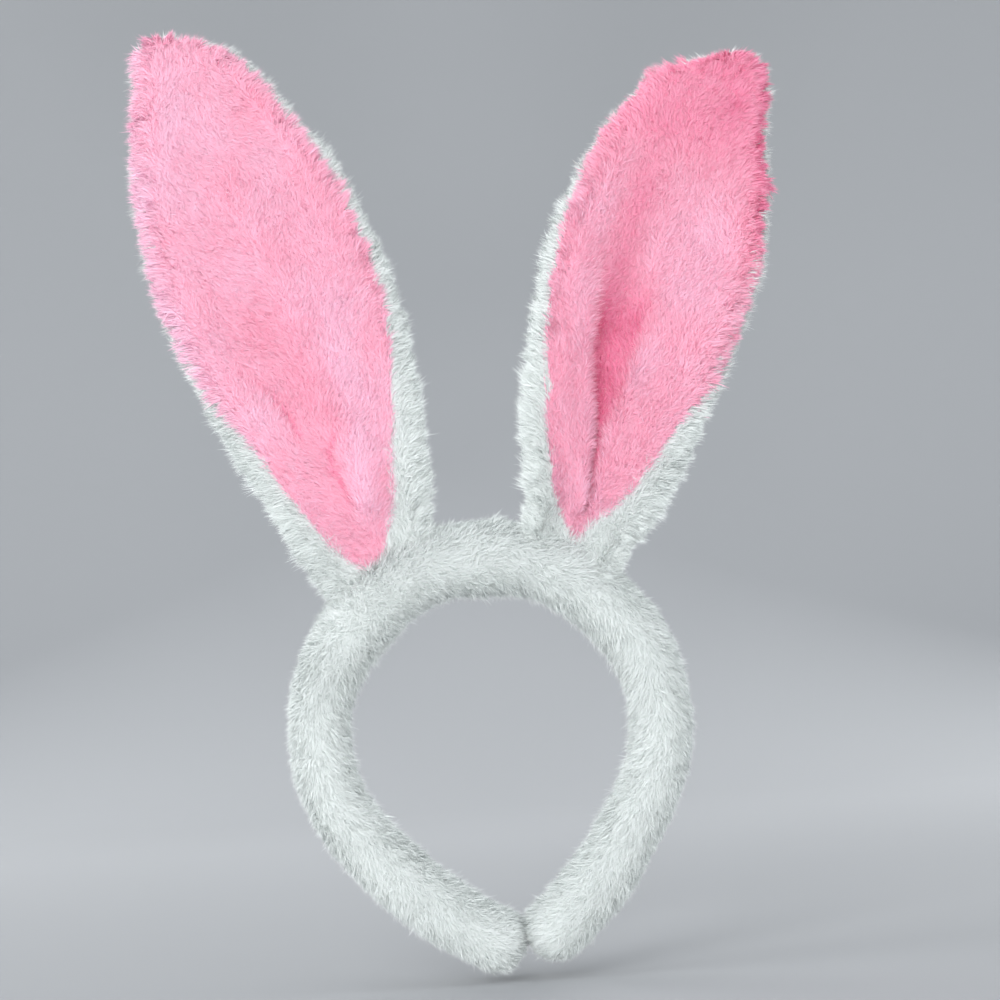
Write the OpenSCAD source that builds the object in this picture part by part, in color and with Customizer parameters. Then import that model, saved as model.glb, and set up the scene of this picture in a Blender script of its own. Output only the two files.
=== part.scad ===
// Headband with two plush ears: a plush sleeve over a plastic spring core,
// and two wired ears sewn to its crown. Units: mm.
// Worn upright: +Z up, front of the ears towards -Y.
// Origin: underside of the crown, where it sits on the head.

/* [Band] */
// Radius of the core's middle line over the crown
band_r = 60; // [50:1:75]
// Radius of the core's middle line at the temples
side_r = 55; // [45:1:70]
// Sweep of the temple arc, degrees
side_sweep = 30; // [20:1:40]
// Radius of the core's middle line towards the ends
end_r = 142; // [110:1:180]
// How far the ends meet off the middle of the crown, degrees
band_shift_angle = 6; // [0:0.5:10]
// Angle from the crown's top to each shoulder hinge, degrees
flex_angle = 64; // [58:1:75]
// Half the length of each flexure zone, degrees
flex_half = 6; // [5:0.5:8]

/* [Core strip] */
// Width of the plastic strip, front to back
core_w = 12; // [8:0.5:16]
// Thickness of the plastic strip
core_t = 2; // [1.4:0.1:3]

/* [Sleeve] */
// Thickness of the sleeve across the loop
sleeve_t = 20; // [16:0.5:26]
// Width of the sleeve, front to back
sleeve_w = 26; // [22:0.5:34]
// Stitches in the crown's seam
crown_stitches = 13; // [5:1:25]
// Stitches in each arm's seam
arm_stitches = 15; // [5:1:25]
// Length of one seam stitch
stitch_len = 3.2; // [2:0.2:4]

/* [Ears] */
// Angle from the crown's top to each ear's root, degrees
root_angle = 29; // [24:1:32]
// Length of the left ear from its root
left_len = 199; // [140:0.5:220]
// Length of the right ear from its root
right_len = 180.5; // [140:0.5:220]
// Half the left ear's greatest width
left_half_w = 38; // [30:0.5:42]
// Half the right ear's greatest width
right_half_w = 35.5; // [30:0.5:42]
// Half of the left ear's width at its root
left_root_w = 20; // [16:0.5:22]
// Half of the right ear's width at its root
right_root_w = 18.5; // [16:0.5:22]
// How fast the left ear narrows to its tip, as a power
left_taper = 0.62; // [0.4:0.02:0.8]
// How fast the right ear narrows to its tip, as a power
right_taper = 0.5; // [0.4:0.02:0.8]
// Lean of the left ear towards the middle, degrees
left_lean_angle = 12.5; // [4:0.5:16]
// Lean of the right ear towards the middle, degrees
right_lean_angle = 11; // [4:0.5:16]
// How far the tip sweeps outwards
tip_sweep = 8; // [0:0.5:14]
// Cup of the left ear at its root, degrees
left_cup_root_angle = 38; // [20:1:60]
// Cup of the left ear at its middle, degrees
left_cup_mid_angle = 28; // [10:1:45]
// Cup of the right ear at its root, degrees
right_cup_root_angle = 42; // [20:1:60]
// Cup of the right ear at its middle, degrees
right_cup_mid_angle = 36; // [10:1:45]
// Cup of both ears at the tip, degrees
cup_tip_angle = 14; // [5:1:25]
// Share of the left ear's cup that is a pinched crease
left_pinch_share = 0; // [0:0.05:1]
// Share of the right ear's cup that is a pinched crease
right_pinch_share = 0.85; // [0:0.05:1]
// Thickness of the white back panel
back_pile = 6; // [3:0.5:8]
// Thickness of the pink front panel
front_pile = 5; // [3:0.5:7]
// Height of the white rim above the middle of the ear
rim_h = 4.5; // [3:0.5:6]
// Least width of the white rim
rim_w = 3.2; // [2.6:0.1:5]
// Half of each ear's width at the very tip
tip_half_w = 2.6; // [2:0.1:4]
// Height over which the root turns into the lean
lean_rise = 45; // [30:1:60]
// How far each ear steps back above its root
root_step = 5; // [0:0.5:8]

/* [Ear frame] */
// Wire thickness
wire_d = 1.6; // [1:0.1:2]
// Space between the two panels
cavity = 3.4; // [3:0.1:5]
// Thickness of the padding sheet
pad_t = 2.4; // [1.5:0.1:2.6]
// Outside diameter of the splice tube
splice_d = 3; // [2.6:0.1:3.6]
// Length of the splice tube
splice_len = 6.4; // [5:0.2:9]
// Bend radius of the wire where it leaves the splice tube
foot_r = 2.4; // [2:0.1:3]
// How deep the ear's hinge line is sewn into the sleeve
root_sink = 0; // [0:0.1:0.5]
// Thread thickness
thread_d = 0.8; // [0.5:0.1:1]
// Length of each root stitch's tail in the sleeve
tail_len = 3.4; // [2:0.2:5]

/* [Clearances] */
// Play of the core in the sleeve
core_play = 0.3; // [0.2:0.05:0.6]
// How much the sleeve and the core draw in at each change of radius along an arm
draw_in = 0.1; // [0.08:0.02:0.2]
// Gap between the two ends of the sleeve
end_gap = 2.3; // [1:0.1:6]
// Gap between moving zones of the band
zone_gap = 0.4; // [0.3:0.05:0.8]
// Gap between the two panels where they are sewn
seam_gap = 1.2; // [1:0.1:1.6]
// Running gap of the root stitches on the splice tube
root_play = 0.15; // [0.1:0.05:0.3]
// Play of the wire in the splice tube
wire_play = 0.15; // [0.1:0.05:0.3]
// Gap between the splice tube and the wire's bends, and half the gap between the wire's ends
foot_play = 0.1; // [0.05:0.05:0.3]
// Gap between the root stitches and the trough under them
trough_play = 0.6; // [0.4:0.1:1]
// Length of the trough past each end of the splice tube
trough_end = 3.8; // [3:0.1:5]
// Gap between the trough and the root of the ear
root_gap = 0.5; // [0.4:0.1:1]
// Play of the seam thread in its groove
groove_play = 0.4; // [0.3:0.05:0.6]

/* [Hidden] */
$fn = 64;
white = [0.92, 0.93, 0.92];
pink = [0.95, 0.72, 0.78];
grey = [0.55, 0.56, 0.58];
core_white = [0.85, 0.85, 0.83];
thread_white = [0.88, 0.88, 0.86];
thread_pink = [0.93, 0.66, 0.73];
foam_white = [0.9, 0.89, 0.85];
loop_z = sleeve_t / 2 - band_r;
stitch_r = thread_d / 2 + root_play + splice_d / 2;
hinge_r = band_r + sleeve_t / 2 - root_sink;
trough_r = stitch_r + thread_d / 2 + trough_play;
base_z = trough_r + root_gap;
slot_t = core_t + 2 * core_play;
slot_w = core_w + 2 * core_play;
groove_w = thread_d + groove_play;
groove_d = thread_d + groove_play;
end_c_x = band_r - side_r + (side_r - end_r) * cos(side_sweep);
end_sweep = acos((sleeve_t / 2 + end_gap / 2 - end_c_x) / end_r) - side_sweep;
end_lap = core_t;
tray_edge = thread_d / 4;
wire_o = 2 * wire_play;
edge_sink = rim_h / 4.5;
seam_o = cavity / 2 + 0.75 * thread_d;
arm_start = 90 - flex_angle - flex_half;
zone_deg = zone_gap / band_r * 180 / PI;
half_cav = cavity / 2;
front_end = 0.945;
tray_end = 0.96;
rows = concat(
  [0, 0.03, 0.065, 0.11, 0.165, 0.225, 0.29, 0.36, 0.43],
  [0.5, 0.57, 0.64, 0.71, 0.775, 0.835, 0.89, front_end]
);
cols = [-0.8, -0.62, -0.46, -0.32, -0.2, -0.1, 0, 0.1, 0.2, 0.32, 0.46, 0.62, 0.8];
left_cup = [left_cup_root_angle, left_cup_mid_angle, cup_tip_angle];
left_ear = [
  left_len, left_half_w, left_lean_angle, left_cup, left_pinch_share, left_taper, left_root_w
];
right_cup = [right_cup_root_angle, right_cup_mid_angle, cup_tip_angle];
right_ear = [
  right_len, right_half_w, right_lean_angle, right_cup, right_pinch_share, right_taper, right_root_w
];
crease_root = 0.14;
crease_mid = -0.12;
crease_soft = 0.2;

// Band profiles, drawn about the core's middle line: x across the loop, y front to back

module sleeve_shape(draw = 0) {
  difference() {
    sleeve_outline(draw);
    square([slot_t + 2 * draw, slot_w + 2 * draw], center = true);
    translate([-sleeve_t / 2, 0]) square([2 * groove_d + 2 * draw, groove_w + 2 * draw], center = true);
  }
}

module sleeve_outline(draw) {
  square([sleeve_t - 2 * draw, sleeve_w - sleeve_t], center = true);
  translate([0, (sleeve_w - sleeve_t) / 2]) circle(d = sleeve_t - 2 * draw);
  translate([0, -(sleeve_w - sleeve_t) / 2]) circle(d = sleeve_t - 2 * draw);
}

module core_shape(draw = 0) {
  square([core_t - 2 * draw, core_w - 2 * draw], center = true);
}

// Sweeps a profile about a centre, from angle a to angle b, both from +X towards +Z
module swept(centre, r, a, b) {
  translate([centre[0], 0, centre[1]])
    rotate([90, 0, 0])
      rotate([0, 0, a])
        rotate_extrude(angle = b - a)
          translate([r, 0]) children();
}

// Mirrors to the left side
module on_side(side) {
  mirror([side < 0 ? 1 : 0, 0, 0]) children();
}

function polar(c, r, a) = [c[0] + r * cos(a), c[1] + r * sin(a)];
function crown_c() = [0, loop_z];
function side_start(side) = band_shift_angle * side;
function side_c(side) = polar(crown_c(), band_r - side_r, side_start(side));
function end_start(side) = side_start(side) - side_sweep;
function end_c(side) = polar(side_c(side), side_r - end_r, end_start(side));
function end_angle(side) = end_start(side) - end_sweep;
function end_point(side) = polar(end_c(side), end_r, end_angle(side));

// Frame at the end of an arm: +Z runs on past the end
module at_arm_end(side) {
  p = end_point(side);
  translate([p[0], 0, p[1]])
    rotate([0, 180 - end_angle(side), 0]) children();
}

// The arm narrows by one draw-in at each change of radius, and each run starts inside the one before
module arm_sleeve(side) {
  on_side(side) {
    union() {
      swept(crown_c(), band_r, side_start(side), arm_start) sleeve_shape(0);
      swept(side_c(side), side_r, end_start(side), side_start(side) + 2) sleeve_shape(draw_in);
      swept(end_c(side), end_r, end_angle(side), end_start(side) + 1) sleeve_shape(2 * draw_in);
      at_arm_end(side) arm_sleeve_end(3 * draw_in);
    }
  }
}

// Gathered end of the sleeve, rounded, with the slot that takes the core's tip
module arm_sleeve_end(draw) {
  difference() {
    union() {
      rotate([90, 0, 0]) cylinder(d = sleeve_t - 2 * draw, h = sleeve_w - sleeve_t, center = true);
      translate([0, (sleeve_w - sleeve_t) / 2, 0]) sphere(d = sleeve_t - 2 * draw);
      translate([0, -(sleeve_w - sleeve_t) / 2, 0]) sphere(d = sleeve_t - 2 * draw);
    }
    translate([0, 0, -sleeve_t + core_w / 2 + core_play])
      cube([slot_t + 2 * draw, slot_w + 2 * draw, 2 * sleeve_t], center = true);
    translate([0, 0, -sleeve_t - end_lap])
      cube([2 * sleeve_t, 2 * sleeve_w, 2 * sleeve_t], center = true);
    translate([sleeve_t / 2, 0, -sleeve_t + end_lap / 2])
      cube([2 * groove_d + 2 * draw, groove_w + 2 * draw, 2 * sleeve_t], center = true);
  }
}

module arm_core(side) {
  on_side(side) {
    union() {
      swept(crown_c(), band_r, side_start(side), arm_start) core_shape(0);
      swept(side_c(side), side_r, end_start(side), side_start(side) + 2) core_shape(draw_in);
      swept(end_c(side), end_r, end_angle(side), end_start(side) + 1) core_shape(2 * draw_in);
      at_arm_end(side)
        rotate([0, 90, 0]) cylinder(d = core_w - 6 * draw_in, h = core_t - 6 * draw_in, center = true);
    }
  }
}

module shoulder(side) {
  on_side(side)
    swept(crown_c(), band_r, arm_start + zone_deg, 90 - flex_angle + flex_half) children();
}

module crown_run() {
  swept(crown_c(), band_r, 90 - flex_angle + flex_half, 90 + flex_angle - flex_half) children();
}

// One stitch lying in the seam groove at angle a of an arc
module seam_stitch(c, r, a) {
  p = polar(c, r - sleeve_t / 2 + groove_d / 2, a);
  translate([p[0], 0, p[1]])
    rotate([0, -a, 0])
      cylinder(d = thread_d, h = stitch_len, center = true);
}

module crown_stitch_row() {
  reach = flex_angle - flex_half - 4;
  for (i = [0 : crown_stitches - 1])
    seam_stitch(crown_c(), band_r, 90 - reach + 2 * reach * i / (crown_stitches - 1));
}

module arm_stitch_row(side) {
  on_side(side)
    for (i = [0 : arm_stitches - 1])
      seam_stitch(end_c(side), end_r, end_angle(side) + 1.4 + (end_sweep - 2.4) * i / (arm_stitches - 1));
}

// Ear sheets. t runs from root to tip, s across from the inner edge (-1) to the outer edge (1),
// o is the distance in front of the ear's middle sheet.

function ramp(t) = let (c = min(1, max(0, t))) c * c * (3 - 2 * c);
function mix(a, b, t) = a + (b - a) * t;
function total(v) = v * [for (x = v) 1];

function half_w(e, t) =
  let (x = (t - 0.5) / 0.5)
  t < 0.5 ? mix(e[6], e[1], sin(180 * t)) : max(tip_half_w, e[1] * pow(max(0, 1 - x * x), e[5]));
function cup(e, t) = t < 0.5 ? mix(e[3][0], e[3][1], ramp(2 * t)) : mix(e[3][1], e[3][2], ramp(2 * t - 1));
function pinch(e, t) = e[4] * (1 - ramp((t - 0.2) / 0.5));
// The crease starts outside the ear's middle and wanders inwards as it rises
function crease_s(t) = mix(crease_root, crease_mid, ramp(t / 0.4));
function slope(e, t, s) =
  let (k = pinch(e, t), q = s - crease_s(t))
  cup(e, t) * ((1 - k) * s + k * q / sqrt(q * q + crease_soft * crease_soft));

function run_x(e, t, s) = s / 12 * total([for (i = [0 : 11]) cos(slope(e, t, s * (i + 0.5) / 12))]);
function run_d(e, t, s) = s / 12 * total([for (i = [0 : 11]) sin(slope(e, t, s * (i + 0.5) / 12))]);
function sheet_w(e, t) = 2 * half_w(e, t) / (run_x(e, t, 1) - run_x(e, t, -1));

// Share of the ear's width that is pink
function pink_s(e, t) =
  min(0.95 - 0.59 * pow(1 - min(1, t / 0.45), 1.7), 1 - rim_w / half_w(e, t));

function ear_pt(e, t, s, o) =
  let (
    w = sheet_w(e, t),
    a = slope(e, t, s),
    mid = w * (run_x(e, t, 1) + run_x(e, t, -1)) / 2,
    x = w * run_x(e, t, s) - mid - o * sin(a),
    d = w * run_d(e, t, s) + o * cos(a),
    v = t * (e[0] - base_z),
    turn = e[2] * ramp(v / lean_rise),
    fade = 1 - ramp(t / 0.25),
    lift = fade * (0.65 * abs(d) - x * x / (2 * hinge_r))
  )
  [
    -v * sin(e[2]) + tip_sweep * t * t * t + x * cos(turn),
    -d + root_step * ramp(t / 0.4),
    base_z + v * cos(e[2]) + x * sin(turn) + lift
  ];

function root_fade(t) = mix(0.3, 1, ramp(t / 0.07));
function tip_fade(t) = t < 0.8 ? 1 : mix(0.45, 1, sqrt(max(0, 1 - pow((t - 0.8) / 0.2, 2))));
function edge_round(s, k) = sqrt(max(0, 1 - pow(abs(s), k)));

// Closed sheet between a grid of front points and a grid of back points
module sheet(front, back) {
  m = len(front);
  n = len(front[0]);
  pts = concat([for (r = front) for (p = r) p], [for (r = back) for (p = r) p]);
  b = m * n;
  faces = concat(
    [for (i = [0 : m - 2]) for (j = [0 : n - 2]) each
      [[i * n + j, (i + 1) * n + j, (i + 1) * n + j + 1], [i * n + j, (i + 1) * n + j + 1, i * n + j + 1]]],
    [for (i = [0 : m - 2]) for (j = [0 : n - 2]) each
      [[b + i * n + j, b + i * n + j + 1, b + (i + 1) * n + j + 1],
       [b + i * n + j, b + (i + 1) * n + j + 1, b + (i + 1) * n + j]]],
    [for (i = [0 : m - 2]) each
      [[i * n, b + i * n, b + (i + 1) * n], [i * n, b + (i + 1) * n, (i + 1) * n]]],
    [for (i = [0 : m - 2]) let (q = n - 1) each
      [[i * n + q, b + (i + 1) * n + q, b + i * n + q], [i * n + q, (i + 1) * n + q, b + (i + 1) * n + q]]],
    [for (j = [0 : n - 2]) each
      [[j, j + 1, b + j + 1], [j, b + j + 1, b + j]]],
    [for (j = [0 : n - 2]) let (q = (m - 1) * n) each
      [[q + j, b + q + j + 1, q + j + 1], [q + j, b + q + j, b + q + j + 1]]]
  );
  polyhedron(pts, faces, convexity = 8);
}

// Round strand along a list of points, square to the path at each point
function strand_ring(path, i, d, n) =
  let (
    k = len(path) - 1,
    a = path[max(0, i - 1)],
    b = path[min(k, i + 1)],
    f = (b - a) / norm(b - a),
    h = abs(f[1]) < 0.8 ? [0, 1, 0] : [1, 0, 0],
    u = cross(f, h) / norm(cross(f, h)),
    v = cross(f, u)
  )
  [for (j = [0 : n - 1]) path[i] + d / 2 * (cos(360 * j / n) * u + sin(360 * j / n) * v)];

module strand(path, d, n) {
  k = len(path);
  pts = [for (i = [0 : k - 1]) each strand_ring(path, i, d, n)];
  faces = concat(
    [for (i = [0 : k - 2]) for (j = [0 : n - 1]) let (q = (j + 1) % n) each
      [[i * n + j, i * n + q, (i + 1) * n + q], [i * n + j, (i + 1) * n + q, (i + 1) * n + j]]],
    [[for (j = [n - 1 : -1 : 0]) j]],
    [[for (j = [0 : n - 1]) (k - 1) * n + j]]
  );
  polyhedron(pts, faces, convexity = 8);
}

function back_cols(e, t) =
  let (f = pink_s(e, t), g = tray_edge / sheet_w(e, t))
  concat(
    [-1, -mix(1, f, 0.3), -mix(1, f, 0.75), -f, -f + g],
    [for (q = cols) q * f],
    [f - g, f, mix(1, f, 0.75), mix(1, f, 0.3), 1]
  );
function back_o(t, s) = -half_cav - back_pile * root_fade(t) * tip_fade(t) * mix(0.08, 1, edge_round(s, 5));
function rim_o(t, s) =
  (rim_h * root_fade(t) + edge_sink) * tip_fade(t) * mix(0.1, 1, edge_round(s, 8)) - edge_sink;

module ear_back(e) {
  rows_b = concat(rows, [tray_end, tray_end + 0.003, 0.98, 1]);
  sheet(
    [for (t = rows_b) let (c = back_cols(e, t)) [for (j = [0 : len(c) - 1])
      ear_pt(e, t, c[j], (t > tray_end || j < 4 || j > len(c) - 5) ? rim_o(t, c[j]) : -half_cav)]],
    [for (t = rows_b) let (c = back_cols(e, t)) [for (s = c) ear_pt(e, t, s, back_o(t, s))]]
  );
}

function front_o(e, t, q) =
  half_cav + front_pile * root_fade(t) * (t > front_end - 0.01 ? 0.4 : 1) * mix(0.3, 1, edge_round(q, 4))
    * (1 - 0.7 * pinch(e, t) * exp(-pow((q * pink_s(e, t) - crease_s(t)) / 0.16, 2)));

// The front panel stops one seam gap short of the rim
function front_s(e, t, q) = q * (pink_s(e, t) - (abs(q) == 1 ? seam_gap / sheet_w(e, t) : 0));

module ear_front(e) {
  cols_f = concat([-1], cols, [1]);
  sheet(
    [for (t = rows) [for (q = cols_f) ear_pt(e, t, front_s(e, t, q), front_o(e, t, q))]],
    [for (t = rows) [for (q = cols_f) ear_pt(e, t, front_s(e, t, q), half_cav)]]
  );
}

module ear_padding(e) {
  rows_p = [for (i = [2 : len(rows) - 4]) rows[i]];
  cols_p = [for (i = [2 : len(cols) - 3]) cols[i]];
  sheet(
    [for (t = rows_p) [for (q = cols_p) ear_pt(e, t, q * pink_s(e, t), pad_t / 2)]],
    [for (t = rows_p) [for (q = cols_p) ear_pt(e, t, q * pink_s(e, t), -pad_t / 2)]]
  );
}

// Wire: from the splice up the outer edge, round the tip and back down the inner edge
function wire_leg(e, q) =
  [for (i = [0 : len(rows) - 3]) ear_pt(e, rows[i], q * pink_s(e, rows[i]), wire_o)];
function wire_tip(e) =
  let (t = rows[len(rows) - 3], w = 0.776 * pink_s(e, t) * half_w(e, t))
  [for (a = [60, 30, 0, -30, -60])
    let (u = t + 0.055 * cos(a)) ear_pt(e, u, w * sin(a) / half_w(e, u), wire_o)];
function wire_foot(side) =
  [for (a = [0, 30, 60, 90])
    [side * (splice_len / 2 + foot_play + foot_r * sin(a)), 0, foot_r - foot_r * cos(a)]];

module ear_wire(e) {
  up = wire_leg(e, 0.8);
  down = wire_leg(e, -0.8);
  strand(
    concat(
      [[foot_play, 0, 0]],
      wire_foot(1),
      up,
      wire_tip(e),
      [for (i = [len(down) - 1 : -1 : 0]) down[i]],
      [for (i = [3 : -1 : 0]) wire_foot(-1)[i]],
      [[-foot_play, 0, 0]]
    ),
    wire_d, 6
  );
}

module ear_splice() {
  rotate([0, 90, 0])
    difference() {
      cylinder(d = splice_d, h = splice_len, center = true);
      cylinder(d = wire_d + 2 * wire_play, h = 2 * splice_len, center = true);
    }
}

// Seam thread: along the gap between the pink panel and the white rim
function seam_leg(e, side) =
  [for (t = rows) ear_pt(e, t, side * (pink_s(e, t) - 0.54 * seam_gap / sheet_w(e, t)), seam_o)];

module ear_seam(e) {
  in_leg = seam_leg(e, -1);
  t = (front_end + tray_end) / 2;
  strand(
    concat(
      seam_leg(e, 1),
      [for (q = [0.75, 0.4, 0, -0.4, -0.75]) ear_pt(e, t, q * pink_s(e, t), seam_o)],
      [for (i = [len(rows) - 1 : -1 : 0]) in_leg[i]]
    ),
    thread_d, 5
  );
}

// Thread loops round the splice tube, each with its tail sewn into the sleeve
module root_stitch_row() {
  span = splice_len - 2 * thread_d;
  for (x = [-0.5, -0.17, 0.17, 0.5])
    translate([x * span, 0, 0]) {
      rotate([0, 90, 0]) rotate_extrude() translate([stitch_r, 0]) circle(d = thread_d);
      translate([0, 0, -stitch_r - tail_len]) cylinder(d = thread_d, h = tail_len);
    }
}

// Crown of the sleeve, with a trough under each ear's root
module crown_sleeve_cut() {
  difference() {
    crown_run() sleeve_shape();
    at_root(-1) root_trough();
    at_root(1) root_trough();
  }
}

module root_trough() {
  rotate([0, 90, 0]) cylinder(r = trough_r, h = splice_len + 2 * trough_end, center = true);
}

// Ear frame: origin on the hinge line at the root, +X outwards along the crown
module at_root(side) {
  on_side(side)
    translate([0, 0, loop_z])
      rotate([0, root_angle, 0])
        translate([0, 0, hinge_r]) children();
}

module crown_core() { color(core_white) crown_run() core_shape(); }
module left_core_flexure() { color(core_white) shoulder(-1) core_shape(); }
module right_core_flexure() { color(core_white) shoulder(1) core_shape(); }
module left_arm_core() { color(core_white) arm_core(-1); }
module right_arm_core() { color(core_white) arm_core(1); }
module crown_sleeve() { color(white) crown_sleeve_cut(); }
module left_shoulder_sleeve() { color(white) shoulder(-1) sleeve_shape(); }
module right_shoulder_sleeve() { color(white) shoulder(1) sleeve_shape(); }
module left_arm_sleeve() { color(white) arm_sleeve(-1); }
module right_arm_sleeve() { color(white) arm_sleeve(1); }
module crown_seam_thread() { color(thread_white) crown_stitch_row(); }
module left_arm_seam_thread() { color(thread_white) arm_stitch_row(-1); }
module right_arm_seam_thread() { color(thread_white) arm_stitch_row(1); }
module left_ear_back() { color(white) at_root(-1) ear_back(left_ear); }
module left_ear_front() { color(pink) at_root(-1) ear_front(left_ear); }
module left_ear_wire() { color(grey) at_root(-1) ear_wire(left_ear); }
module left_ear_splice() { color(grey) at_root(-1) ear_splice(); }
module left_ear_padding() { color(foam_white) at_root(-1) ear_padding(left_ear); }
module left_ear_seam_thread() { color(thread_pink) at_root(-1) ear_seam(left_ear); }
module left_root_stitches() { color(thread_white) at_root(-1) root_stitch_row(); }
module right_ear_back() { color(white) at_root(1) ear_back(right_ear); }
module right_ear_front() { color(pink) at_root(1) ear_front(right_ear); }
module right_ear_wire() { color(grey) at_root(1) ear_wire(right_ear); }
module right_ear_splice() { color(grey) at_root(1) ear_splice(); }
module right_ear_padding() { color(foam_white) at_root(1) ear_padding(right_ear); }
module right_ear_seam_thread() { color(thread_pink) at_root(1) ear_seam(right_ear); }
module right_root_stitches() { color(thread_white) at_root(1) root_stitch_row(); }

crown_core();
left_core_flexure();
right_core_flexure();
left_arm_core();
right_arm_core();
crown_sleeve();
left_shoulder_sleeve();
right_shoulder_sleeve();
left_arm_sleeve();
right_arm_sleeve();
crown_seam_thread();
left_arm_seam_thread();
right_arm_seam_thread();
left_ear_back();
left_ear_front();
left_ear_wire();
left_ear_splice();
left_ear_padding();
left_ear_seam_thread();
left_root_stitches();
right_ear_back();
right_ear_front();
right_ear_wire();
right_ear_splice();
right_ear_padding();
right_ear_seam_thread();
right_root_stitches();
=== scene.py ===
import bpy
import math
import numpy as np
from mathutils import Matrix, Vector, kdtree


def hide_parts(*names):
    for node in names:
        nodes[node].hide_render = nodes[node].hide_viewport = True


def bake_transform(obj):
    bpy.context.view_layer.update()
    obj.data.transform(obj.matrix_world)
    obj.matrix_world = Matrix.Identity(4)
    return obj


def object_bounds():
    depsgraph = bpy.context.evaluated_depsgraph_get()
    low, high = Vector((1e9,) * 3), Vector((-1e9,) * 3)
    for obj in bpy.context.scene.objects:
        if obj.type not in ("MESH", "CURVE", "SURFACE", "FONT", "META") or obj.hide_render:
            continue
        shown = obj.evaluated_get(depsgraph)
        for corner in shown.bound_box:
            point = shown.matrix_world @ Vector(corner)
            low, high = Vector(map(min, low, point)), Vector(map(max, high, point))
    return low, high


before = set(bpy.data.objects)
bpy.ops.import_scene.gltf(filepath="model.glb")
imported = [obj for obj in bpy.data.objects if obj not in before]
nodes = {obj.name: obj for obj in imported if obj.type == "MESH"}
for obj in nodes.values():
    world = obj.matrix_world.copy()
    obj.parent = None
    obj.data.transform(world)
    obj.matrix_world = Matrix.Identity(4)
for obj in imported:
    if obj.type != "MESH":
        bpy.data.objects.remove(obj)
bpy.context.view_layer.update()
rng = np.random.default_rng(20)
MM = 0.001

# Sizes of the part in mm and degrees, as in its source
BAND_R, SIDE_R, END_R = 60.0, 55.0, 142.0
SIDE_SWEEP, END_SWEEP, BAND_SHIFT = 30.0, 25.0, 6.0
SLEEVE_T, SLEEVE_W = 20.0, 26.0
LOOP_Z = SLEEVE_T / 2 - BAND_R
ROOT_ANGLE = 29.0
HINGE_R = BAND_R + SLEEVE_T / 2
BASE_Z = 3.55
HALF_CAV = 1.7
FRONT_T, BACK_T = 5.0, 6.0
RIM_H, RIM_W, EDGE_SINK = 4.5, 3.2, 1
TIP_HALF_W = 2.6
LEAN_RISE, TIP_SWEEP, ROOT_STEP = 45, 8, 5

# The right ear's crease, s at its root and further up: nearer the inner edge than in the source, as its fold is
CREASE_ROOT, CREASE_MID, CREASE_SOFT = -0.04, -0.14, 0.2
# Heights of an ear's front in mm: least over the cavity, dome at the tip, cover over the seam thread
FRONT_MIN, DOME_H, THREAD_COVER = 2.3, 6.7, 4.6

# Pile: fibres on each panel, then lengths, widths and depths in mm
FIBRES = 128000
SLEEVE_PILE, FRONT_PILE, BACK_PILE = 5.2, 4.9, 5.4
LENGTH_SPREAD = (0.65, 1.2)
FIBRE_W = (0.18, 0.32)
SLEEVE_INSET = 1.5
ROOT_DEPTH, EDGE_ROOT_DEPTH = 1.4, 1.0
FRINGE_W = 8
SLEEVE_LEAN, PANEL_LEAN, EDGE_LEAN = 56.0, 60.0, 42.0
SMALL_TUFT, LARGE_TUFT = 11, 70
TOP_TUFT = np.array([4.0, -3.0, 20.0])

# Ears: t runs from root to tip, s across from the inner edge (-1) to the outer (1).
# pink_* is the border of the pink panel, wide_* widens the outline by mm, and wrap_* is
# where the pink starts to go round the edge and how far it goes.
ROOT_T = -0.055
WIDE_AT = (ROOT_T, 0.0, 0.05, 0.12, 0.2, 0.3, 0.4, 0.5, 0.6, 0.7, 0.8, 0.84, 0.885, 0.93, 0.98, 1.0)
EARS = {
    "left": dict(
        side=-1, length=199.0, half_w=38.0, lean=12.5, cup=(38.0, 28.0, 14.0),
        pinch=0.0, blunt=0.62, root=20.0, skew=0.012,
        pink_at=(-0.03, 0.0, 0.05, 0.15, 0.24, 0.33, 0.40, 0.49, 0.6, 1.0),
        pink_in=(0.10, 0.38, 0.60, 0.70, 0.79, 0.89, 0.94, 0.96, 0.97, 0.99),
        pink_out=(0.20, 0.48, 0.66, 0.79, 0.86, 0.92, 0.97, 1.0, 1.0, 1.0),
        wrap_in=(0.60, 0.10), wrap_out=(0.37, 0.65),
        wide_in=(0, 0, 0, 0, 0, 0, 0, 0, 0, 0.2, 0.2, 1.0, 2.8, 4.4, 3.2, 2.2),
        wide_out=(0, 0, 0, 0, 0, 0.3, 0.6, 0.8, 0.4, -0.6, -0.8, -0.8, -1.2, -0.8, 2.6, 3.2)),
    "right": dict(
        side=1, length=180.5, half_w=35.5, lean=11.0, cup=(42.0, 36.0, 14.0),
        pinch=0.85, blunt=0.5, root=18.5, skew=0.022,
        pink_at=(-0.03, 0.0, 0.03, 0.06, 0.11, 0.17, 0.24, 0.30, 0.36, 0.44, 0.6, 1.0),
        pink_in=(0.10, 0.50, 0.70, 0.77, 0.79, 0.79, 0.81, 0.86, 0.91, 0.96, 1.0, 1.0),
        pink_out=(0.0, 0.18, 0.40, 0.53, 0.65, 0.74, 0.83, 0.92, 1.0, 1.0, 1.0, 1.0),
        wrap_in=(0.64, 0.65), wrap_out=(0.27, 0.65),
        wide_in=(0, 0, 0, 0, -0.4, -1.2, -1.6, -0.5, 0, 0, 0.5, 0.8, 1.0, 3.4, 0.0, 0.0),
        wide_out=(-3.2, -3.0, -1.6, -0.2, -0.7, -1.4, -1.2, -0.3,
                  1.2, 0.3, -0.4, -1.0, -0.4, 2.4, 5.4, 5.0)),
}

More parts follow.
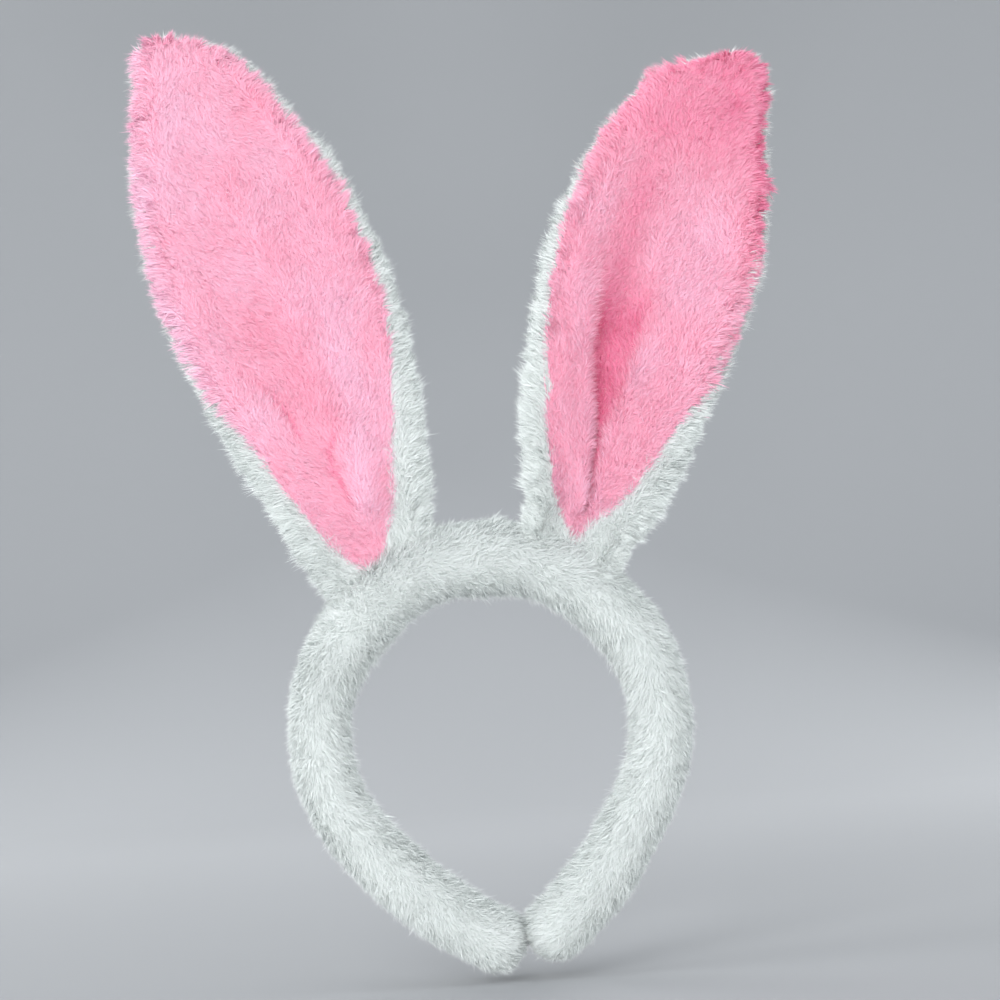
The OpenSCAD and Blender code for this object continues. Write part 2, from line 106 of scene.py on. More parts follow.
# The right ear's fold: the lip of its near lobe and the foot of its far lobe, s at each t
LIP_AT = (0.0, 0.06, 0.164, 0.268, 0.348, 0.428, 0.55, 0.75)
LIP_S = (-0.12, -0.11, -0.08, -0.28, -0.42, -0.46, -0.51, -0.55)
FOOT_AT = (0.0, 0.064, 0.16, 0.284, 0.404, 0.55)
FOOT_S = (-0.06, -0.04, -0.01, 0.11, 0.15, 0.18)
# Its patches of painted shade (darker) and painted highlight (paler): depth of tone, then t and s with the spread
# of each
RIGHT_PAINTED_SHADING = (
    (0.20, 0.43, 0.06, 0.05, 0.2),
    (0.16, 0.66, 0.12, -0.36, 0.17),
    (-0.08, 0.55, 0.14, 0.45, 0.3),
    (0.20, 0.9, 0.035, 0.5, 0.2),
)
# The left ear's two small creases, s at each t
UPPER_AT, UPPER_S = (0.236, 0.284, 0.344, 0.452), (0.34, 0.39, 0.49, 0.65)
LOWER_AT, LOWER_S = (0.048, 0.092, 0.156, 0.184, 0.236), (0.03, 0.04, 0.10, 0.06, -0.08)

# Stage in m. Lamps: place, height aimed at, size and watts
FLOOR_GAP = 0.0005
LAMPS = {
    "key": ((-0.5, -1.5, 0.6), 0.04, 0.8, 14),
    "fill": ((1.4, -3.0, 0.35), 0.05, 1.8, 14),
    "low": ((0.0, -0.9, -0.13), -0.02, 0.1, 4),
    "left": ((-2.8, -0.6, 0.77), 0.03, 1.6, 24),
    "right": ((2.8, -0.6, 0.92), 0.08, 1.6, 11),
    "back_left": ((-0.45, 0.8, 0.35), 0.05, 0.6, 2.6),
    "back_right": ((0.45, 0.8, 0.3), 0.05, 0.6, 2.6),
}
WORLD_COLOUR, WORLD_STRENGTH = (0.92, 0.95, 1.0, 1), 0.84
CAMERA_X, CAMERA_Z, CAMERA_AWAY, CAMERA_ROLL = 0.00905, 0.0292, 1.4, 4.0
PICTURE_W, SENSOR_W = 0.35, 36


# ---- small helpers

def ramp(t):
    """0 below 0, 1 above 1, smooth between."""
    c = np.clip(t, 0, 1)
    return c * c * (3 - 2 * c)


def bump(x, c, w):
    """1 at c, falling to 0 over about w on both sides."""
    return np.exp(-((x - c) / w) ** 2)


def mix(a, b, t):
    return a + (b - a) * t


def unit(v):
    return v / np.maximum(np.linalg.norm(v, axis=-1, keepdims=True), 1e-12)


def wave(p, scale, seed):
    """Smooth noise, mostly from -1 to 1, at points p, with features about scale mm across."""
    r = np.random.default_rng(seed)
    out = np.zeros(len(p))
    for _ in range(7):
        d = unit(r.normal(size=3))
        f = 2 * math.pi / (scale * r.uniform(0.7, 1.6))
        out += np.sin(p @ d * f + r.uniform(0, 6.28))
    return out / 3.2


def find_tree(points):
    tree = kdtree.KDTree(len(points))
    for k, p in enumerate(points):
        tree.insert(p, k)
    tree.balance()
    return tree


# ---- the ear's form in mm, close to the part's source: o is the distance in front of the middle sheet

def half_w(e, t):
    x = (t - 0.5) / 0.5
    low = mix(e["root"], e["half_w"], np.sin(np.pi * t))
    high = np.maximum(TIP_HALF_W, e["half_w"] * np.maximum(0, 1 - x * x) ** e["blunt"])
    return np.where(t < 0.5, low, high)


def cup(e, t):
    c = e["cup"]
    return np.where(t < 0.5, mix(c[0], c[1], ramp(2 * t)), mix(c[1], c[2], ramp(2 * t - 1)))


def pinch(e, t):
    return e["pinch"] * (1 - ramp((t - 0.2) / 0.5))


def crease_s(t):
    return mix(CREASE_ROOT, CREASE_MID, ramp(t / 0.4))


def slope(e, t, s):
    k, q = pinch(e, t), s - crease_s(t)
    return np.radians(cup(e, t) * ((1 - k) * s + k * q / np.sqrt(q * q + CREASE_SOFT ** 2)))


def run(e, t, s, f, steps=12):
    """Sum of f along the curved sheet, from its middle to s."""
    return s / steps * sum(f(slope(e, t, s * (i + 0.5) / steps)) for i in range(steps))


def sheet_w(e, t):
    one = np.ones_like(t)
    return 2 * half_w(e, t) / (run(e, t, one, np.cos) - run(e, t, -one, np.cos))


def pink_s(e, t):
    """Where the solid's front panel ends."""
    widening = 0.59 * (1 - np.minimum(1, np.maximum(t, 0) / 0.45)) ** 1.7
    return np.minimum(0.95 - widening, 1 - RIM_W / half_w(e, t))


def root_fade(t):
    return mix(0.7, 1.0, ramp(t / 0.07))


def tip_fade(t):
    rounded = np.sqrt(np.maximum(0, 1 - (np.maximum(t - 0.8, 0) / 0.2) ** 2))
    return np.where(t < 0.8, 1.0, mix(0.45, 1.0, rounded))


def past_seam(e, t, s):
    """0 up to the seam between pink and white, 1 at the ear's edge."""
    f = pink_s(e, t) + 0.02
    return ramp((np.abs(s) - f) / (1 - f))


def edge_round(s, k):
    return np.sqrt(np.maximum(0, 1 - np.abs(s) ** k))


def side_value(e, t, s, key):
    """A value given along t for the outer and for the inner side."""
    at = WIDE_AT if key == "wide" else e["pink_at"]
    return np.where(s > 0, np.interp(t, at, e[key + "_out"]), np.interp(t, at, e[key + "_in"]))


def ear_pt(e, t, s, o):
    """Points of the ear in the part's frame, mm."""
    one = np.ones_like(t)
    w, a = sheet_w(e, t), slope(e, t, s)
    mid = w * (run(e, t, one, np.cos) + run(e, t, -one, np.cos)) / 2
    wider = side_value(e, t, s, "wide") - 1.1 * ramp(t / 0.2)
    x = w * run(e, t, s, np.cos) - mid - o * np.sin(a) + s * wider
    d = w * run(e, t, s, np.sin) + o * np.cos(a)
    slant = e["skew"] * np.maximum(s, 0) * ramp((t - 0.86) / 0.14)
    v = (t + slant) * (e["length"] - BASE_Z)
    lean = math.radians(e["lean"])
    turn = lean * ramp(v / LEAN_RISE)
    lift = (1 - ramp(t / 0.25)) * (0.65 * np.abs(d) * (1 - ramp(-t / 0.03)) - x * x / (2 * HINGE_R))
    px = -v * math.sin(lean) + TIP_SWEEP * t ** 3 + x * np.cos(turn)
    py = -d + ROOT_STEP * ramp(t / 0.4)
    pz = BASE_Z + v * math.cos(lean) + x * np.sin(turn) + lift + HINGE_R
    r = math.radians(ROOT_ANGLE)
    gx = px * math.cos(r) + pz * math.sin(r)
    gz = -px * math.sin(r) + pz * math.cos(r) + LOOP_Z
    return np.stack([gx * e["side"], py, gz], -1)


def ear_grid(e, t, s, o):
    return ear_pt(e, t.ravel(), s.ravel(), o.ravel()).reshape(*t.shape, 3)


def back_o(t, s):
    return -HALF_CAV - BACK_T * root_fade(t) * tip_fade(t) * mix(0.08, 1.0, edge_round(s, 5))


def rim_o(t, s):
    return (RIM_H * root_fade(t) + EDGE_SINK) * tip_fade(t) * mix(0.1, 1.0, edge_round(s, 8)) - EDGE_SINK


def front_o(e, t, q):
    dip = 1 - 0.7 * pinch(e, t) * bump(q * pink_s(e, t), crease_s(t), 0.16)
    return HALF_CAV + FRONT_T * root_fade(t) * mix(0.8, 1.0, edge_round(q, 4)) * dip


# ---- the soft folds of the pink panels: height in mm, and the painted shade and painted highlights on them, as a darker or paler pink tone

def fold_lines(t):
    """The right ear's fold: the lip of the near lobe, the foot of the far lobe, and its strength."""
    strength = ramp(t / 0.04) * (1 - ramp((t - 0.36) / 0.22))
    return np.interp(t, LIP_AT, LIP_S), np.interp(t, FOOT_AT, FOOT_S), strength


def right_folds(t, s):
    lip, foot, low = fold_lines(t)
    wide = ramp((t - 0.1) / 0.2) * (1 - ramp((t - 0.55) / 0.25))
    across = np.clip((s - lip) / (foot - lip + 0.1), 0, 1)
    far = (1 - ramp((s - foot + 0.07) / 0.10)) * (1 - 0.3 * across)
    valley = ramp((s - lip + 0.05) / 0.13) * far
    high = low * (1.6 * bump(s, lip - 0.14, 0.13) - 1.4 * valley + 0.9 * bump(s, foot + 0.16, 0.18))
    high = high - 1.2 * bump(t, 0.9, 0.03) * bump(s, 0.5, 0.2)
    # painted shade: darker pink just under the near lobe's lip and down the valley; painted highlights: a little
    # paler on both lobes
    painted_shade_and_tone = low * (0.46 * bump(s, lip + 0.05, 0.07) + 0.48 * valley
                  - 0.04 * bump(s, lip - 0.12, 0.1) - 0.03 * bump(s, foot + 0.14, 0.10))
    # painted shade above the valley
    painted_shade_and_tone = painted_shade_and_tone + 0.14 * wide * bump(s, lip + 0.2, 0.22)
    # patches of painted shade and painted highlight
    for depth, t_at, t_spread, s_at, s_spread in RIGHT_PAINTED_SHADING:
        painted_shade_and_tone = painted_shade_and_tone + depth * bump(t, t_at, t_spread) * bump(s, s_at, s_spread)
    # painted shade along the outer edge, where the ear turns away from the light; the ear is also darker towards
    # its tip
    painted_shade_and_tone = painted_shade_and_tone + 0.48 * bump(s, 1.02, 0.12) * ramp((t - 0.5) / 0.2) + 0.26 * ramp((t - 0.70) / 0.15)
    return high, painted_shade_and_tone + 0.06


def left_folds(t, s):
    low = ramp(t / 0.06) * (1 - ramp((t - 0.3) / 0.3))
    ridge = bump(s, mix(-0.12, -0.5, np.clip(t / 0.45, 0, 1)), 0.2) * low
    upper = bump(s, np.interp(t, UPPER_AT, UPPER_S), 0.035)
    upper = upper * ramp((t - 0.21) / 0.03) * (1 - ramp((t - 0.28) / 0.16))
    lower = bump(s, np.interp(t, LOWER_AT, LOWER_S), 0.03)
    lower = lower * ramp((t - 0.03) / 0.04) * (1 - ramp((t - 0.18) / 0.08))
    creases = upper + lower
    # painted shade: darker pink in the shallow valley and in the two creases; painted highlight: paler on the
    # ridge
    painted_shade_and_tone = 0.08 * low * bump(s, 0.15, 0.25) + 0.40 * creases - 0.12 * ridge
    # painted highlights: paler towards the top and along the outer edge
    painted_shade_and_tone = painted_shade_and_tone - 0.12 * bump(t, 0.8, 0.12) * bump(s, 0.5, 0.4) - 0.16 * bump(s, 1.02, 0.10)
    return 1.6 * ridge - 1.4 * creases, painted_shade_and_tone


def folds(e, t, s):
    return right_folds(t, s) if e["pinch"] > 0 else left_folds(t, s)


def front_h(e, t, s):
    """Height of the front's surface: the panel with its folds, the rim, and a plain dome towards the tip."""
    f = pink_s(e, t)
    near_rim = np.abs(s) - f + 0.2
    inside = front_o(e, t, np.clip(s / f, -1, 1)) + folds(e, t, s)[0] * (1 - ramp(near_rim / 0.2))
    inside = np.maximum(inside, HALF_CAV + FRONT_MIN)
    body = mix(inside, rim_o(t, s), ramp(near_rim / 0.3))
    dome = DOME_H * edge_round(s, 5) - 0.4
    body = mix(body, dome, ramp((t - 0.5) / 0.25)) * np.where(t > 0.93, tip_fade(t), 1)
    over_thread = np.where(t < 0.955, THREAD_COVER - 25 * np.maximum(0, np.abs(s) - f - 0.01), -9)
    return np.maximum(body, over_thread)


# ---- meshes

def mesh_from(name, co, quads, tris=None, uv=None, normals=None):
    """Object from points in mm, quads, then tris. uv is one pair per corner."""
    me = bpy.data.meshes.new(name)
    tris = np.zeros((0, 3), int) if tris is None else tris
    loops = np.concatenate([quads.ravel(), tris.ravel()]).astype(np.int32)
    sizes = np.concatenate([np.full(len(quads), 4), np.full(len(tris), 3)]).astype(np.int32)
    starts = np.concatenate([[0], np.cumsum(sizes)[:-1]]).astype(np.int32)
    me.vertices.add(len(co))
    me.vertices.foreach_set("co", (co * MM).astype(np.float32).ravel())
    me.loops.add(len(loops))
    me.loops.foreach_set("vertex_index", loops)
    me.polygons.add(len(sizes))
    me.polygons.foreach_set("loop_start", starts)
    me.polygons.foreach_set("use_smooth", np.ones(len(sizes), bool))
    if uv is not None:
        layer = me.uv_layers.new(name="OFBake")
        layer.data.foreach_set("uv", uv.astype(np.float32).ravel())
    me.update(calc_edges=True)
    me.validate()
    if normals is not None:
        me.normals_split_custom_set_from_vertices(normals.astype(np.float32))
    ob = bpy.data.objects.new(name, me)
    bpy.context.scene.collection.objects.link(ob)
    return ob


def grid_quads(m, n, closed=False):
    i, j = np.meshgrid(np.arange(m - 1), np.arange(n if closed else n - 1), indexing="ij")
    k = (j + 1) % n
    return np.stack([i * n + j, (i + 1) * n + j, (i + 1) * n + k, i * n + k], -1).reshape(-1, 4)


def close_round(g):
    return np.concatenate([g, g[:, :1]], 1)


def thick_sheet(front, back):
    """Points and quads of a closed sheet between two grids of points."""
    m, n = front.shape[:2]
    b = m * n
    f = grid_quads(m, n)
    g = grid_quads(m, n)[:, ::-1] + b
    i, j = np.arange(m - 1), np.arange(n - 1)
    sides = [
        np.stack([i * n, b + i * n, b + (i + 1) * n, (i + 1) * n], -1),
        np.stack([i * n + n - 1, (i + 1) * n + n - 1, b + (i + 1) * n + n - 1, b + i * n + n - 1], -1),
        np.stack([j, j + 1, b + j + 1, b + j], -1),
        np.stack([b - n + j, 2 * b - n + j, 2 * b - n + j + 1, b - n + j + 1], -1),
    ]
    return np.concatenate([front.reshape(-1, 3), back.reshape(-1, 3)]), np.concatenate([f, g] + sides)


def scatter(p, n, extra, count, weight=None):
    """count random places on a grid surface: points, normals and the extra values there."""
    a, b, c, d = p[:-1, :-1], p[1:, :-1], p[1:, 1:], p[:-1, 1:]
    area = np.linalg.norm(np.cross(c - a, d - b), axis=-1) / 2
    if weight is not None:
        area = area * (weight[:-1, :-1] + weight[1:, 1:]) / 2
    flat = area.ravel() / area.sum()
    cell = rng.choice(len(flat), count, p=flat)
    i, j = np.unravel_index(cell, area.shape)
    u, v = rng.random(count)[:, None], rng.random(count)[:, None]

    def at(g):
        low = g[i, j] * (1 - u) * (1 - v) + g[i + 1, j] * u * (1 - v)
        return low + g[i + 1, j + 1] * u * v + g[i, j + 1] * (1 - u) * v

    return at(p), unit(at(n)), at(extra)


def nearest(points, heads):
    """The head closest to each point. Heads and results are indexes into points."""
    tree = find_tree(points[heads])
    return heads[np.array([tree.find(r)[1] for r in points])]


def strands(name, root, nrm, comb, length, width, tone, lean, gather=0.2, stray=0.24, droop=0.0, raised=0.0):
    """Pile: a tapering ribbon for each root, drawn into small and large tufts.

    One ribbon in four is bent, the others are straight.
    """
    n = len(root)
    noise = rng.normal(size=(n, 3))
    a = np.radians(lean[:, None] - 9 + rng.normal(size=(n, 1)) * 8)
    b = np.radians(lean[:, None] + 11 + rng.normal(size=(n, 1)) * 8)
    comb = unit(comb - (comb * nrm).sum(-1, keepdims=True) * nrm + 1e-9)
    d1 = unit(nrm * np.cos(a) + comb * np.sin(a) + noise * stray)
    d2 = unit(nrm * np.cos(b) + comb * np.sin(b) + noise * stray * 1.5 + np.array([0, 0, -droop]))
    mid = root + d1 * length[:, None] * 0.5
    tip = mid + d2 * length[:, None] * 0.5
    for size, strength, spread, reach, low in (
            (SMALL_TUFT, 0.32, (0.3, 1.3), (0.75, 1.15), 0.45),
            (LARGE_TUFT, gather, (0.2, 1.2), (0.8, 1.15), 0.4)):
        own = nearest(root, rng.choice(n, max(1, n // size), replace=False))
        pull = (strength * rng.uniform(*spread, n))[:, None]
        aim = root[own] + (tip[own] - root[own]) * rng.uniform(*reach, n)[:, None]
        mid = mid + (mid[own] - mid) * pull * low
        tip = tip + (aim - tip) * pull

    # ribbons, with normals between the ribbon's own and the surface's
    along = unit(tip - root)
    side = unit(np.cross(along, nrm + rng.normal(size=(n, 3)) * 0.8))
    face = np.cross(side, along)
    flip = np.where((face * nrm).sum(-1, keepdims=True) < 0, -1, 1)
    side, face = side * flip, face * flip
    flat = ramp(((face * nrm).sum(-1, keepdims=True) - 0.25) / 0.6)
    soft = unit(nrm * flat + face * (1.05 - flat) + np.array([0, 0, raised]))
    h = side * (width / 2)[:, None]
    bent = np.arange(n) % 4 == 0
    nb, ns = int(bent.sum()), int((~bent).sum())
    five = np.stack([root - h, root + h, mid - h * 0.85, mid + h * 0.85, tip], 1)[bent]
    three = np.stack([root - h, root + h, tip], 1)[~bent]
    co = np.concatenate([five.reshape(-1, 3), three.reshape(-1, 3)])
    normals = np.concatenate([np.repeat(soft[bent], 5, axis=0), np.repeat(soft[~bent], 3, axis=0)])
    k = np.arange(nb)[:, None] * 5
    quads = k + np.array([0, 1, 3, 2])
    straight = nb * 5 + np.arange(ns)[:, None] * 3 + np.array([0, 1, 2])
    tris = np.concatenate([k + np.array([2, 3, 4]), straight])

    # map: tone across, root to tip upwards
    u0, u1 = np.clip(tone - 0.004, 0, 1), np.clip(tone + 0.004, 0, 1)
    edges = (u0, u1, (u0 + u1) / 2)

    def corners(pick, *uv):
        pairs = [np.stack([edges[c][pick], np.full(int(pick.sum()), v)], -1) for c, v in uv]
        return np.stack(pairs, 1).reshape(-1, 2)

    uv = np.concatenate([
        corners(bent, (0, 0.0), (1, 0.0), (1, 0.55), (0, 0.55)),
        corners(bent, (0, 0.55), (1, 0.55), (2, 1.0)),
        corners(~bent, (0, 0.0), (1, 0.0), (2, 1.0)),
    ])
    return mesh_from(name, co, quads, tris, uv, normals)


# ---- materials

def material(name):
    mat = bpy.data.materials.new(name)
    mat.use_nodes = True
    return mat, mat.node_tree, mat.node_tree.nodes["Principled BSDF"]


def pile_material(name, tones, root, tip):
    """Colour by fibre (across the map) and from root to tip (up the map)."""
    mat, nt, bsdf = material(name)
    uv = nt.nodes.new("ShaderNodeUVMap")
    uv.uv_map = "OFBake"
    split = nt.nodes.new("ShaderNodeSeparateXYZ")
    nt.links.new(uv.outputs["UV"], split.inputs["Vector"])

    def colours(stops, source):
        node = nt.nodes.new("ShaderNodeValToRGB")
        while len(node.color_ramp.elements) < len(stops):
            node.color_ramp.elements.new(0.5)
        for el, (pos, c) in zip(node.color_ramp.elements, stops):
            el.position = pos
            el.color = (*c, 1)
        nt.links.new(source, node.inputs["Fac"])
        return node.outputs["Color"]

    def blend(kind, factor, a, b):
        node = nt.nodes.new("ShaderNodeMix")
        node.data_type = "RGBA"
        node.blend_type = kind
        for value, socket in ((factor, node.inputs["Factor"]), (a, node.inputs[6]), (b, node.inputs[7])):
            if isinstance(value, float):
                socket.default_value = value
            elif isinstance(value, tuple):
                socket.default_value = (*value, 1)
            else:
                nt.links.new(value, socket)
        return node.outputs[2]

    tone = colours([(k / (len(tones) - 1), c) for k, c in enumerate(tones)], split.outputs["X"])
    low = colours([(0.0, root), (0.5, (1, 1, 1))], split.outputs["Y"])
    high = colours([(0.6, (0, 0, 0)), (1.0, (0.4, 0.4, 0.4))], split.outputs["Y"])
    body = blend("MULTIPLY", 1.0, tone, low)
    nt.links.new(blend("MIX", high, body, tip), bsdf.inputs["Base Color"])
    bsdf.inputs["Roughness"].default_value = 0.85
    bsdf.inputs["Specular IOR Level"].default_value = 0.1
    return mat


def plain_material(name, colour, rough, scale, spread, metal=0.0):
    """One colour, a little uneven: spread is how far, scale is how fine."""
    mat, nt, bsdf = material(name)
    noise = nt.nodes.new("ShaderNodeTexNoise")
    noise.inputs["Scale"].default_value = scale
    noise.inputs["Detail"].default_value = 4.0
    coord = nt.nodes.new("ShaderNodeTexCoord")
    nt.links.new(coord.outputs["Object"], noise.inputs["Vector"])
    tone = nt.nodes.new("ShaderNodeValToRGB")
    tone.color_ramp.elements[0].position = 0.3
    tone.color_ramp.elements[1].position = 0.7
    tone.color_ramp.elements[0].color = (*[c * (1 - spread) for c in colour], 1)
    tone.color_ramp.elements[1].color = (*[min(1, c * (1 + spread)) for c in colour], 1)
    nt.links.new(noise.outputs["Fac"], tone.inputs["Fac"])
    nt.links.new(tone.outputs["Color"], bsdf.inputs["Base Color"])
    bsdf.inputs["Roughness"].default_value = rough
    bsdf.inputs["Metallic"].default_value = metal
    return mat


WHITE_PILE = pile_material(
    "white_pile",
    [(0.67, 0.705, 0.69), (0.77, 0.81, 0.795), (0.815, 0.855, 0.84), (0.85, 0.885, 0.87)],
    (0.98, 0.98, 0.98), (0.85, 0.885, 0.87))
PINK_PILE = pile_material(
    "pink_pile",
    [(0.80, 0.14, 0.28), (0.90, 0.25, 0.42), (0.95, 0.37, 0.53), (0.965, 0.47, 0.61), (0.97, 0.64, 0.79)],
    (0.98, 0.92, 0.94), (0.965, 0.61, 0.73))
WHITE_CLOTH = plain_material("white_backing", (0.80, 0.84, 0.825), 0.95, 900, 0.04)
PINK_CLOTH = plain_material("pink_backing", (0.94, 0.50, 0.62), 0.95, 900, 0.04)
white_thread = plain_material("white_thread", (0.70, 0.72, 0.71), 0.8, 2500, 0.10)
pink_thread = plain_material("pink_thread", (0.86, 0.40, 0.53), 0.8, 2500, 0.10)
core_plastic = plain_material("core_plastic", (0.70, 0.70, 0.67), 0.45, 60, 0.03)
# the first ending that fits a node's name gives its finish; the plush nodes have none
finishes = {
    "_core": core_plastic,
    "_core_flexure": core_plastic,
    "_wire": plain_material("steel_wire", (0.50, 0.51, 0.53), 0.32, 400, 0.08, 1.0),
    "_splice": plain_material("splice_tube", (0.62, 0.62, 0.60), 0.5, 300, 0.05),
    "_padding": plain_material("wadding", (0.74, 0.73, 0.69), 0.95, 500, 0.10),
    "_ear_seam_thread": pink_thread,
    "_thread": white_thread,
    "_stitches": white_thread,
}
for name, ob in nodes.items():
    finish = next((mat for ending, mat in finishes.items() if name.endswith(ending)), None)
    if finish:
        ob.data.materials.clear()
        ob.data.materials.append(finish)


# ---- the sleeve, one half on each side of the crown's top

def turned(deg):
    """Directions at angles in degrees, in the XZ plane."""
    return np.stack([np.cos(np.radians(deg)), np.sin(np.radians(deg))], -1)


def band_point(side, run_mm):
    """Middle line of the core on one side, in the XZ plane: points, outward directions, headings and length."""
    start = BAND_SHIFT * side
    a3 = start - SIDE_SWEEP
    c1 = np.array([0.0, LOOP_Z])
    c2 = c1 + (BAND_R - SIDE_R) * turned(start)
    c3 = c2 + (SIDE_R - END_R) * turned(a3)
    l1 = math.radians(90 - start) * BAND_R
    l2 = l1 + math.radians(SIDE_SWEEP) * SIDE_R
    l3 = l2 + math.radians(END_SWEEP) * END_R
    arc = np.where(run_mm < l1, 0, np.where(run_mm < l2, 1, 2))
    centre = np.array([c1, c2, c3])[arc]
    radius = np.array([BAND_R, SIDE_R, END_R])[arc]
    into = run_mm - np.array([0.0, l1, l2])[arc]
    out = turned(np.array([90.0, start, a3])[arc] - np.degrees(into / radius))
    head = np.stack([out[:, 1], -out[:, 0]], -1)
    return centre + radius[:, None] * out, out, head, l3


def sleeve_grid(side, inset):
    """Grid on one half of the sleeve, along it and then over its rounded end: points, normals, headings, runs."""
    total = band_point(side, np.zeros(1))[3]
    rows = np.linspace(0, total, 110)
    p, out, head, _ = band_point(side, rows)
    caps = np.radians(np.linspace(6, 88, 10))
    around = np.linspace(0, 2 * math.pi, 56, endpoint=False)
    # uneven thickness, and bulges on the side facing the head
    fuller = 0.9 * bump(rows, 0, 34.0) - 0.5 * bump(rows, 95, 26.0) + 0.5 * bump(rows, 165, 30.0)
    bulge = 2.4 if side < 0 else 1.2
    under = 1.6 * bump(rows, 0, 14.0) + bulge * bump(rows, 46, 20.0) - 0.4 * ramp((rows - 80) / 25)
    half = (SLEEVE_W - SLEEVE_T) / 2
    sine = np.sin(around)
    shift = half * np.sign(np.round(sine, 6)) * np.minimum(1, np.abs(sine) * 4)
    pts, nrm, along, run_at = [], [], [], []
    for k in range(len(rows) + len(caps)):
        i = min(k, len(rows) - 1)
        th = 0.0 if k < len(rows) else caps[k - len(rows)]
        r = SLEEVE_T / 2 - inset + fuller[i]
        rr = (r + under[i] * np.maximum(0, -np.cos(around))) * math.cos(th)
        x, y, z = rr * np.cos(around), rr * sine + shift, r * math.sin(th)
        c = p[i] + head[i] * z
        pts.append(np.stack([c[0] + out[i][0] * x, y, c[1] + out[i][1] * x], -1))
        n_out, n_y, n_on = np.cos(around) * math.cos(th), sine * math.cos(th), math.sin(th)
        n_x, n_z = (out[i][j] * n_out + head[i][j] * n_on for j in (0, 1))
        nrm.append(np.stack([n_x, n_y, n_z], -1))
        along.append(np.tile([head[i][0], 0, head[i][1]], (len(around), 1)))
        run_at.append(np.full((len(around), 1), rows[i] + z))
    pts, nrm, along, run_at = map(np.array, (pts, nrm, along, run_at))
    if side < 0:
        for g in (pts, nrm, along):
            g[..., 0] *= -1
    return pts, nrm, along, run_at


def sleeve_cloth(name, side, pts):
    """The closed tube under the pile."""
    m, n = pts.shape[:2]
    co = np.concatenate([pts.reshape(-1, 3), [pts[-1].mean(0)], [pts[0].mean(0)]])
    quads = grid_quads(m, n, closed=True)
    ring = np.arange(n)
    tris = np.concatenate([
        np.stack([(m - 1) * n + ring, np.full(n, m * n), (m - 1) * n + (ring + 1) % n], -1),
        np.stack([ring, (ring + 1) % n, np.full(n, m * n + 1)], -1),
    ])
    if side > 0:
        quads, tris = quads[:, ::-1], tris[:, ::-1]
    return mesh_from(f"{name}_sleeve_cloth", co, quads, tris)


def root_cuff(e, p):
    """How close points of the sleeve are to the ear's root, and which way the ear rises there."""
    across = np.repeat(np.linspace(-1, 1, 41), 3)
    depth = np.tile([-6.0, 0.0, 5.0], 41)
    feet = ear_pt(e, np.zeros(len(across)), across, depth)
    rise = unit(ear_pt(e, np.full(len(across), 0.1), across, depth) - feet)
    tree = find_tree(feet)
    found = [tree.find(r)[1:] for r in p]
    cuff = bump(np.array([f[1] for f in found]), 0, 6.5)[:, None]
    return cuff, rise[[f[0] for f in found]]


half_sleeves = {}
for name, side in (("left", -1), ("right", 1)):
    pts, nrm, along, run_at = sleeve_grid(side, SLEEVE_INSET)
    skin = sleeve_cloth(name, side, pts)
    skin.data.materials.append(WHITE_CLOTH)
    extra = np.concatenate([along, run_at], -1)
    p, nn, ex = scatter(close_round(pts), close_round(nrm), close_round(extra), FIBRES)
    swirl = wave(p, 30, 5)[:, None]
    around_dir = np.cross(nn, ex[:, :3]) * side
    # the pile runs from left to right over the crown, then down both arms
    onward = 1.0 if side > 0 else 2 * ramp(ex[:, 3:4] / 90) - 1
    comb = ex[:, :3] * 0.6 * onward + around_dir * 0.28 * swirl + rng.normal(size=p.shape) * 0.32
    length = SLEEVE_PILE * (1 + 0.12 * wave(p, 18, 6)) * rng.uniform(*LENGTH_SPREAD, len(p))
    cuff, rise = root_cuff(EARS[name], p)
    comb = comb * (1 - cuff) + rise * 1.4 * cuff
    length = length * (1 + 0.7 * cuff[:, 0]) * (1 + 0.14 * wave(p, 5, 8))
    length = length * (1 + 0.8 * np.exp(-((p - TOP_TUFT) ** 2).sum(-1) / 16))
    # longer pile over the seam thread, on the side facing the head
    to_head = np.array([0.0, LOOP_Z]) - p[:, [0, 2]]
    inner = (to_head * nn[:, [0, 2]]).sum(-1) > 0
    length = length * (1 + 0.35 * bump(p[:, 1], 0, 4) * inner)
    tone = np.clip(0.53 + 0.08 * wave(p, 30, 7) + rng.normal(size=len(p)) * 0.06, 0.01, 0.99)
    width = rng.uniform(*FIBRE_W, len(p))
    lean = np.full(len(p), SLEEVE_LEAN)
    fur = strands(f"{name}_sleeve_pile", p, nn, comb, length, width, tone, lean, 0.25, droop=0.08, raised=0.4)
    fur.data.materials.append(WHITE_PILE)
    half_sleeves[name] = (skin, fur)


# ---- the ears

ROWS = np.concatenate([np.linspace(ROOT_T, 0.1, 20), np.linspace(0.115, 0.93, 62), np.linspace(0.94, 1.0, 10)])
COLS = np.sin(np.linspace(-np.pi / 2, np.pi / 2, 61))


